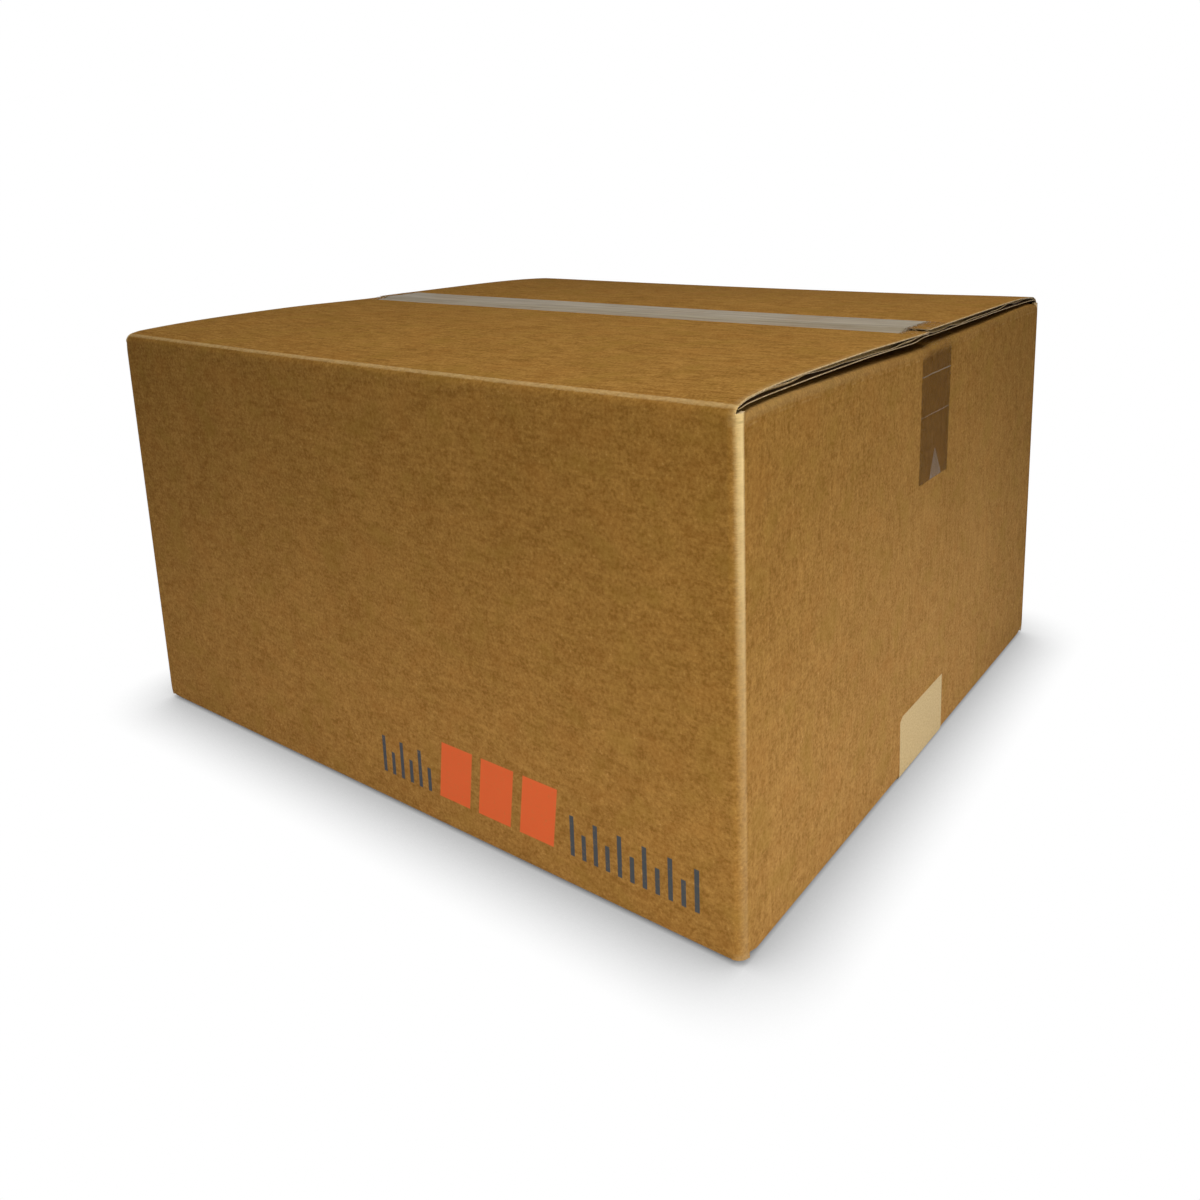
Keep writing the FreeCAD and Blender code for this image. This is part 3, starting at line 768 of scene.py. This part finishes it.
for vertex in top_tape.data.vertices:
    if abs(vertex.co.x) < FLAP_SIDE + 0.2 * MM and vertex.co.z > LID:
        vertex.co.z += top_height(vertex.co.y) - SEAM_TOP
for tape, thickness in ((top_tape, FILM), (paper_tape, PAPER)):
    film = tape.modifiers.new("thickness", "SOLIDIFY")
    film.thickness = thickness
    film.offset = -1.0
    bpy.context.view_layer.objects.active = tape
    bpy.ops.object.modifier_apply(modifier="thickness")
settle_piece(carton)
settle_piece(top_tape, bridge=True)
settle_piece(paper_tape)
for piece in (carton, top_tape, paper_tape):
    bpy.ops.object.select_all(action="DESELECT")
    piece.select_set(True)
    bpy.context.view_layer.objects.active = piece
    bpy.ops.object.shade_smooth_by_angle(angle=math.radians(SMOOTH_ANGLE))
print("settled:", [round(edge, 4) for edge in carton.dimensions])

# %% [markdown]
# Kraft. The brown paper is made of long fibres: close up it is a fine mottle, with
# paler flecks, slow patches of warmer and greener brown, and faint stripes where the
# flutes press through. Where the sheet is folded the paper is stretched and scuffed,
# and it turns pale; the light that the rounded folds catch is painted on as pale
# highlights too. Each of these is a mask, laid over the last one.

# %% Masks from the flat sheet


def unsettled(tree):
    """The place of a point before the box settled, as three wires."""
    place = output(tree, "Attribute", {"attribute_name": "flat"}, socket="Vector")
    node = add_node(tree, "SeparateXYZ", values={0: place})
    return [Wire(tree, node.outputs[axis]) for axis in "XYZ"]


def past_folds(x, y, z):
    """How far a point lies past the start of each fold: upright, long and short."""
    past_x = abs(x) - X_FOLD
    past_y = abs(y) - Y_FOLD
    past_z = (z - LONG_HIGH).over(LONG_LOW - z)
    shoulder = (z - WALL_HIGH).over(WALL_LOW - z).under(abs(x) - (HALF_LENGTH - END_FOLD))
    return past_x, past_y, past_z, shoulder


def band(value, middle, half, soft):
    """1 within half of the middle, fading out over the soft width."""
    return 1 - abs(value - middle).step(half, half + soft)


# %% [markdown]
# Print. Low on the front panel a two-colour flexo press has left a plain row of bars
# and slanted blocks. It could be an image, but a shape in a shader stays sharp at any
# size: it is a distance, how far a point is from the middle of a bar or block.

# %% Ink shapes
SLATE = srgb(72, 77, 77)
ORANGE = srgb(226, 100, 52)
INK_EDGE = 0.3 * MM
BAR_HALF = 1.3 * MM
BAR_PITCH = 8.0 * MM
BAR_LOW = 21.0 * MM
LEFT_BARS = (-3.0 * MM, 6)
RIGHT_BARS = (148.0 * MM, 11)
BLOCKS = (60.0 * MM, 92.0 * MM, 124.0 * MM)
BLOCK_HALF = (12.5 * MM, 18.0 * MM)
BLOCK_Z = 39.0 * MM
BLOCK_SLANT = 0.12


def bars(x, z, first, count):
    """Mask of thin upright bars at an even pitch, every second one taller."""
    reach = BAR_PITCH * (count - 1) / 2
    inside = band(x, first + reach, reach + BAR_PITCH / 2, INK_EDGE)
    line = band((x - first).math("PINGPONG", BAR_PITCH / 2), 0.0, BAR_HALF, INK_EDGE)
    tall = band((x - first).math("PINGPONG", BAR_PITCH), 0.0, BAR_PITCH / 2, INK_EDGE)
    top = BAR_LOW + 15.0 * MM + tall * 9.0 * MM
    upright = (z - BAR_LOW).step(-INK_EDGE, INK_EDGE) * (top - z).step(-INK_EDGE, INK_EDGE)
    return inside * line * upright


def slanted_blocks(x, z):
    """Mask of three bold blocks that lean to the right."""
    mask = None
    lean = x - (z - BLOCK_Z) * BLOCK_SLANT
    tall = abs(z - BLOCK_Z) - BLOCK_HALF[1]
    for place in BLOCKS:
        wide = abs(lean - place) - BLOCK_HALF[0]
        block = 1 - wide.over(tall).step(-INK_EDGE, INK_EDGE)
        mask = block if mask is None else mask.over(block)
    return mask


# %% [markdown]
# The bare liner goes from the largest mask to the finest: two browns by the tone, a
# shift of hue, and flecks. Two stretched noises follow the grain of the paper, upright
# on the end panels and flat elsewhere.

# %% Kraft board
KRAFT_DARK = srgb(137, 94, 39)
KRAFT_LIGHT = srgb(176, 128, 62)
KRAFT_WARM = srgb(165, 111, 49)
KRAFT_GREEN = srgb(152, 113, 46)
RUBBED_AND_HIGHLIGHT = srgb(232, 198, 140)
FIBRE_SCALE = 420.0


def kraft_browns(tree, on_end, on_lid):
    """The brown of the bare liner, with the fine and the middle noise it is made of."""
    here = place_of(tree)
    fine = grain(tree, here, 620.0, 3.0, 0.65)
    mid = grain(tree, here, 150.0, 3.0, 0.55)
    patch = grain(tree, here, 22.0, 3.0, 0.5)
    hue = grain(tree, place_of(tree, (1.0, 1.0, 1.3)), 40.0, 2.0, 0.5)
    upright_fibre = grain(tree, place_of(tree, (1.0, 1.0, 0.2)), FIBRE_SCALE, 2.0, 0.6)
    flat_fibre = grain(tree, place_of(tree, (0.16, 1.0, 1.0)), FIBRE_SCALE, 2.0, 0.6)
    fibre = upright_fibre * on_end + flat_fibre * (1 - on_end)
    tone = 0.5 + (fine - 0.5) * 2.6 + (mid - 0.5) * 1.0 + (patch - 0.5) * 0.5
    tone = tone + (fibre - 0.5) * (1.0 + on_lid)
    colour = mix_colour(tone.over(0.0).under(1.0), KRAFT_DARK, KRAFT_LIGHT)
    colour = mix_colour(hue.step(0.5, 0.72) * 0.25, colour, KRAFT_WARM)
    colour = mix_colour((1 - hue.step(0.28, 0.5)) * 0.4, colour, KRAFT_GREEN)
    fleck = fine.step(0.66, 0.74) * mid.step(0.45, 0.6)
    return mix_colour(fleck * 0.2, colour, RUBBED_AND_HIGHLIGHT), fine, mid


# %% [markdown]
# Pale folds. Where the sheet is folded its paper is scuffed pale, and the light that a
# rounded fold catches is painted on as a pale highlight as well: a thin line along the
# long folds, and a soft band on the end panels' folds, stronger at the front. The near
# upright fold is the palest place of all, partly scuffed and partly painted highlight,
# more so towards its top, where the paper is torn. A rough noise frays the border of
# each pale band. A pale score follows the press under the lid, and a dark line at the
# slots is painted shade in the crease.

# %% Pale folds and painted highlights
TORN_AND_HIGHLIGHT = srgb(248, 212, 150)
FRAY = 2.0 * MM
BAND_START, BAND_FULL = 1.2 * MM, 5.8 * MM
LEFT_WIDER = 2.2 * MM
SCORE = WALL_HIGH + 0.8 * MM
SLOT_LINE = LONG_HIGH - 1.6 * MM


def rub_and_highlight_folds(colour, mid, x, y, z, on_end, on_lid):
    """Lay the pale paper of the folds over a colour: scuffed paper, and painted highlights where
    the rounded folds catch the light.
    """
    past_x, past_y, past_z, shoulder = past_folds(x, y, z)
    hair = grain(x.tree, place_of(x.tree, (1.0, 1.0, 5.0)), 260.0, 3.0, 0.7)
    frayed = (hair - 0.5) * FRAY
    past_long = past_y + frayed * 0.4

    # Painted highlight, with some scuffing: a thin pale line along the long folds, where they
    # catch the light.
    ridge_highlight = (past_z + frayed * 0.4).step(3.9 * MM, 4.9 * MM)
    ridge_highlight = ridge_highlight * past_long.step(1.0 * MM, 2.2 * MM)
    # Painted highlight: a soft pale band on the end panels' top and bottom folds, stronger at the
    # front and fading towards the back.
    near_corner = 1 - y.step(-0.2, 0.02)
    soft = (shoulder + frayed * 2.0).step(1.0 * MM, 4.0 * MM) * (0.3 + 0.7 * near_corner)
    score = band(z, SCORE, 0.25 * MM, 0.5 * MM) * on_end * mid.step(0.4, 0.6)
    rim = (abs(x) + frayed * 0.8).step(FLAP_SIDE - 1.2 * MM, FLAP_SIDE - 0.2 * MM) * on_lid
    worn_and_highlit = (ridge_highlight * hair * 0.7).over(soft * 0.13).over(score * 0.08).over(rim * 0.7)
    colour = mix_colour(worn_and_highlit, colour, RUBBED_AND_HIGHLIGHT)

    # The upright folds: partly scuffed paper and partly a painted highlight, wider on the left and
    # paler towards the top.
    left = 1 - x.step(-0.1, 0.1)
    ramp = (past_x + frayed + left * LEFT_WIDER).step(BAND_START, BAND_FULL)
    upright_wear_and_highlight_band = ramp * ramp * past_long.step(0.0, 2.0 * MM)
    high = z.step(0.0, LID)
    upright = upright_wear_and_highlight_band * (0.12 + high * high * 0.88) * (0.8 + 0.4 * mid)
    colour = mix_colour(upright, colour, mix_colour(high, RUBBED_AND_HIGHLIGHT, TORN_AND_HIGHLIGHT))
    torn = (z + frayed).step(LONG_HIGH - 0.5 * MM, LONG_HIGH + 1.5 * MM) * upright_wear_and_highlight_band
    colour = mix_colour(torn * 0.8, colour, TORN_AND_HIGHLIGHT)
    # Painted shade: a dark line in the crease under the slots.
    slot_crease_shade = band(z, SLOT_LINE, 0.2 * MM, 0.7 * MM) * upright_wear_and_highlight_band
    return mix_colour(slot_crease_shade * 0.3, colour, KRAFT_DARK)


# %% [markdown]
# The outer liner puts it all together: the brown, the pale folds with their painted
# highlights, the ink, and a low relief of mottle and flutes. The other papers, seen at
# the cut edges and inside, are plain, and need only two colours each. The inside paper
# is dark, as painted shade of the hollow box and of the flute channels.

# %% Papers
MOTTLE_DEPTH, CLOUD_DEPTH = 0.05 * MM, 0.1 * MM
FLUTE_DEPTH = 0.012 * MM
GROOVE = WALL_HIGH + 1.0 * MM
GROOVE_DEPTH = 0.12 * MM


def make_kraft(material):
    """Brown kraft liner with print, scuffed folds with painted highlights, and the flutes showing
    through.
    """
    material.use_nodes = True
    tree = material.node_tree
    shader = tree.nodes["Principled BSDF"]
    shader.inputs["Roughness"].default_value = 0.95
    shader.inputs["Specular IOR Level"].default_value = 0.03
    x, y, z = unsettled(tree)
    on_end = abs(x).step(HALF_LENGTH - 1.2 * MM, HALF_LENGTH - 0.4 * MM)
    on_lid = z.step(LID - 1 * MM, LID)
    colour, fine, mid = kraft_browns(tree, on_end, on_lid)
    colour = rub_and_highlight_folds(colour, mid, x, y, z, on_end, on_lid)
    on_front = 1 - y.step(-HALF_WIDTH + 0.3 * MM, -HALF_WIDTH + 0.6 * MM)
    ink = on_front * (1 - on_lid) * (0.97 - 0.25 * fine.step(0.55, 0.75))
    row = bars(x, z, *LEFT_BARS).over(bars(x, z, *RIGHT_BARS))
    colour = mix_colour(row * ink, colour, SLATE)
    feed(shader, "Base Color", mix_colour(slanted_blocks(x, z) * ink, colour, ORANGE))
    flute = ((x * (1 - on_end) + y * on_end) * (2 * math.pi / FLUTE)).math("SINE")
    groove = band(z, GROOVE, 0.6 * MM, 2.2 * MM) * (1 - on_lid)
    height = (fine * MOTTLE_DEPTH + mid * CLOUD_DEPTH
              + flute * FLUTE_DEPTH - groove * GROOVE_DEPTH)
    bump = output(tree, "Bump", values={"Strength": 1.0, "Distance": 1.0, "Height": height})
    feed(shader, "Normal", bump)


def make_paper(material, dark, light, depth=MOTTLE_DEPTH):
    """Plain brown paper, with a fine mottle."""
    material.use_nodes = True
    tree = material.node_tree
    shader = tree.nodes["Principled BSDF"]
    shader.inputs["Roughness"].default_value = 0.85
    shader.inputs["Specular IOR Level"].default_value = 0.15
    fine = grain(tree, place_of(tree), 800.0, 3.0, 0.65)
    feed(shader, "Base Color", mix_colour(fine.step(0.25, 0.75), dark, light))
    values = {"Strength": 1.0, "Distance": 1.0, "Height": fine * depth}
    feed(shader, "Normal", output(tree, "Bump", values=values))


slots = {material.name: material for material in carton.data.materials}
make_kraft(slots["kraft"])
make_paper(slots["cut_edge"], srgb(150, 118, 75), srgb(228, 200, 154), 0.3 * MM)
# The inside paper is coloured dark as painted shade, of the hollow box and of the flute channels
# at the cut edges.
make_paper(slots["inside"], srgb(70, 50, 28), srgb(92, 66, 38))
make_paper(slots["fluting"], srgb(124, 95, 58), srgb(196, 165, 116))

# %% [markdown]
# Clear tape. The film lies wet on its glue: on the end panel it makes the brown under
# it darker. On the lid the pale grey sheen that it shows when seen along its surface is
# painted into its colour as a reflection, and where it bends over the edge this fades
# and the film can hardly be seen. A little air shows pale in a loose patch.

# %% Film
FILM_BROWN = srgb(64, 32, 0)
FILM_PALE_AND_PAINTED_SHEEN = srgb(206, 192, 164)
FILM_DULL_PAINTED_SHEEN = srgb(152, 132, 102)
UPPER_CREASE, LOWER_CREASE = 256.0 * MM, 230.5 * MM
LOOSE_TOP = FILM_TAIL + 21.0 * MM
LOOSE_Y = 10.0 * MM
FILM_RELIEF = 0.1 * MM


def make_film():
    """Clear film with streaks along it, two creases, a loose patch and a painted sheen on the lid.
    """
    material, tree, shader = new_material("film", 0.4)
    shader.inputs["Specular IOR Level"].default_value = 0.05
    x, y, z = unsettled(tree)
    streak = grain(tree, place_of(tree, (0.05, 1.0, 0.08)), 260.0, 3.0, 0.6)
    cloud = grain(tree, place_of(tree, (0.35, 1.0, 0.5)), 60.0, 3.0, 0.6)
    fading = (abs(x) + (cloud - 0.5) * 9 * MM).step(FLAP_SIDE - 17 * MM, FLAP_SIDE - 10 * MM)
    on_lid = z.step(LID + 1.5 * MM, LID + 3.2 * MM) * (1 - fading)
    on_end = 1 - z.step(LID - 13.0 * MM, LID - 7.5 * MM)
    # Painted reflection: on the lid the pale grey sheen that the film shows along its surface is
    # put into its base colour.
    sheen = (0.25 + 0.4 * streak.step(0.35, 0.65)) * (0.7 + 0.6 * cloud)
    painted_sheen_colour = mix_colour(sheen, FILM_DULL_PAINTED_SHEEN, FILM_PALE_AND_PAINTED_SHEEN)
    crease = band(z, UPPER_CREASE, 0.15 * MM, 0.35 * MM)
    crease = crease.over(band(z, LOWER_CREASE, 0.1 * MM, 0.35 * MM) * 0.7)
    below = LOOSE_TOP - z
    loose = (below.over(0.0) * 0.5 - abs(y - LOOSE_Y - below * 0.1)).step(-0.6 * MM, 1.2 * MM)
    loose = loose * below.step(0.0, 3 * MM) * (0.4 + cloud)
    pale = ((crease * 0.6).over(loose * 0.4).over(streak.step(0.62, 0.75) * 0.1)) * on_end
    colour = mix_colour(pale, FILM_BROWN, FILM_PALE_AND_PAINTED_SHEEN)
    feed(shader, "Base Color", mix_colour(on_lid, colour, painted_sheen_colour))
    thick = 0.05 + on_end * (0.32 + pale * 0.3) + on_lid * (0.52 + 0.15 * (streak - 0.5))
    feed(shader, "Alpha", thick)
    height = (streak + cloud) * FILM_RELIEF
    bump = output(tree, "Bump", values={"Strength": 0.6, "Distance": 1.0, "Height": height})
    feed(shader, "Normal", bump)
    return material


top_tape.data.materials.append(make_film())

# %% [markdown]
# Gummed tape is plain kraft paper with glue on its back, paler than the board. The
# same paper material as for the cut edges serves, with lighter colours.

# %% Gummed paper
gummed = bpy.data.materials.new("gummed_paper")
make_paper(gummed, srgb(181, 149, 89), srgb(203, 171, 109))
paper_tape.data.materials.append(gummed)

# %% [markdown]
# Nothing on this box moves, so each piece rides on the fixed body. Each takes the
# place of the solid it was drawn from, which is hidden.

# %% Hand the pieces over
for piece, node, slot in ((carton, "carton", "board"), (top_tape, "top_tape", "film"),
                          (paper_tape, "bottom_tape", "gummed_paper")):
    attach(piece, "root")
    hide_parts(node)

# %% [markdown]
# Stage: a white studio floor without an edge. The camera sees it white, as a product
# photo is cut out, while the light it throws back on the box stays at a plain level.

# %% Floor and surroundings
FLOOR_SIZE = 8.0
FLOOR_WHITE = 0.82
SHADOW_REACH = 50.0 * MM
ROOM_LIGHT = 0.03


def make_floor():
    """A large floor that the camera sees as white, with a soft shade round the box."""
    bpy.ops.mesh.primitive_plane_add(size=FLOOR_SIZE, location=(0, 0, 0))
    floor = bpy.context.object
    floor.name = "floor"
    material, tree, shader = new_material("floor_white", 0.9)
    shader.inputs["Base Color"].default_value = (FLOOR_WHITE,) * 3 + (1.0,)
    seen = output(tree, "LightPath", socket="Is Camera Ray")
    settings = {"samples": 12, "only_local": False}
    values = {"Distance": SHADOW_REACH}
    shade = output(tree, "AmbientOcclusion", settings, values, socket="Color")
    glow = output(tree, "Emission", values={"Color": shade, "Strength": 1.0})
    lit = Wire(tree, shader.outputs[0])
    both = output(tree, "MixShader", values={0: seen, 1: lit, 2: glow})
    tree.links.new(both.socket, tree.nodes["Material Output"].inputs["Surface"])
    floor.data.materials.append(material)


def make_surroundings(strength):
    """A grey room that the camera and the gloss see as white."""
    world = bpy.data.worlds.new("studio")
    bpy.context.scene.world = world
    world.use_nodes = True
    tree = world.node_tree
    path = add_node(tree, "LightPath")
    seen = Wire(tree, path.outputs["Is Camera Ray"])
    gloss = Wire(tree, path.outputs["Is Glossy Ray"])
    level = strength + seen.over(gloss) * (1 - strength)
    feed(tree.nodes["Background"], "Strength", level)
    tree.nodes["Background"].inputs["Color"].default_value = (1, 1, 1, 1)


make_floor()
make_surroundings(ROOM_LIGHT)
bpy.context.scene.view_settings.view_transform = "Standard"

# %% [markdown]
# Lamps. In the photo the box is brightest at its near corner and low down, and the
# light falls off to the far ends and upwards. So one soft lamp hangs above, a small
# warm one stands close to the near corner, and two long low ones, a little cooler,
# stand for the light that a white table throws back on the two panels. One more lights
# the back, which the photo doesn't show.

# %% Lamps


def add_lamp(name, place, target, size, power, colour):
    """A soft lamp, size metres wide and high, that faces a point and isn't seen itself."""
    data = bpy.data.lights.new(name, "AREA")
    data.shape = "RECTANGLE"
    data.size, data.size_y = size
    data.energy = power
    data.color = colour
    lamp = bpy.data.objects.new(name, data)
    away = Vector(place) - Vector(target)
    turn = away.to_track_quat("Z", "Y").to_matrix().to_4x4()
    lamp.matrix_world = Matrix.Translation(place) @ turn
    lamp.visible_camera = False
    bpy.context.scene.collection.objects.link(lamp)


NEAR_CORNER = (HALF_LENGTH, -HALF_WIDTH, 0.1)
FRONT_FOOT = (0.0, -HALF_WIDTH, 0.06)
RIGHT_FOOT = (HALF_LENGTH, -0.03, 0.06)
LAMPS = (
    ("above", (0.35, -0.3, 1.25), NEAR_CORNER, (0.8, 0.8), 9.9, (1.0, 1.04, 1.08)),
    ("corner", (0.72, -0.6, 0.2), NEAR_CORNER, (0.3, 0.3), 1.65, (1.0, 1.0, 0.72)),
    ("behind", (-0.9, 1.1, 0.12), (0, 0, 0.12), (0.8, 0.2), 5.0, (1.0, 1.0, 1.0)),
    ("front_low", (0.0, -0.43, 0.03), FRONT_FOOT, (0.7, 0.06), 0.27, (1.0, 1.06, 1.5)),
    ("right_low", (0.46, -0.03, 0.03), RIGHT_FOOT, (0.5, 0.06), 0.34, (0.97, 1.17, 2.1)))
for lamp in LAMPS:
    add_lamp(*lamp)
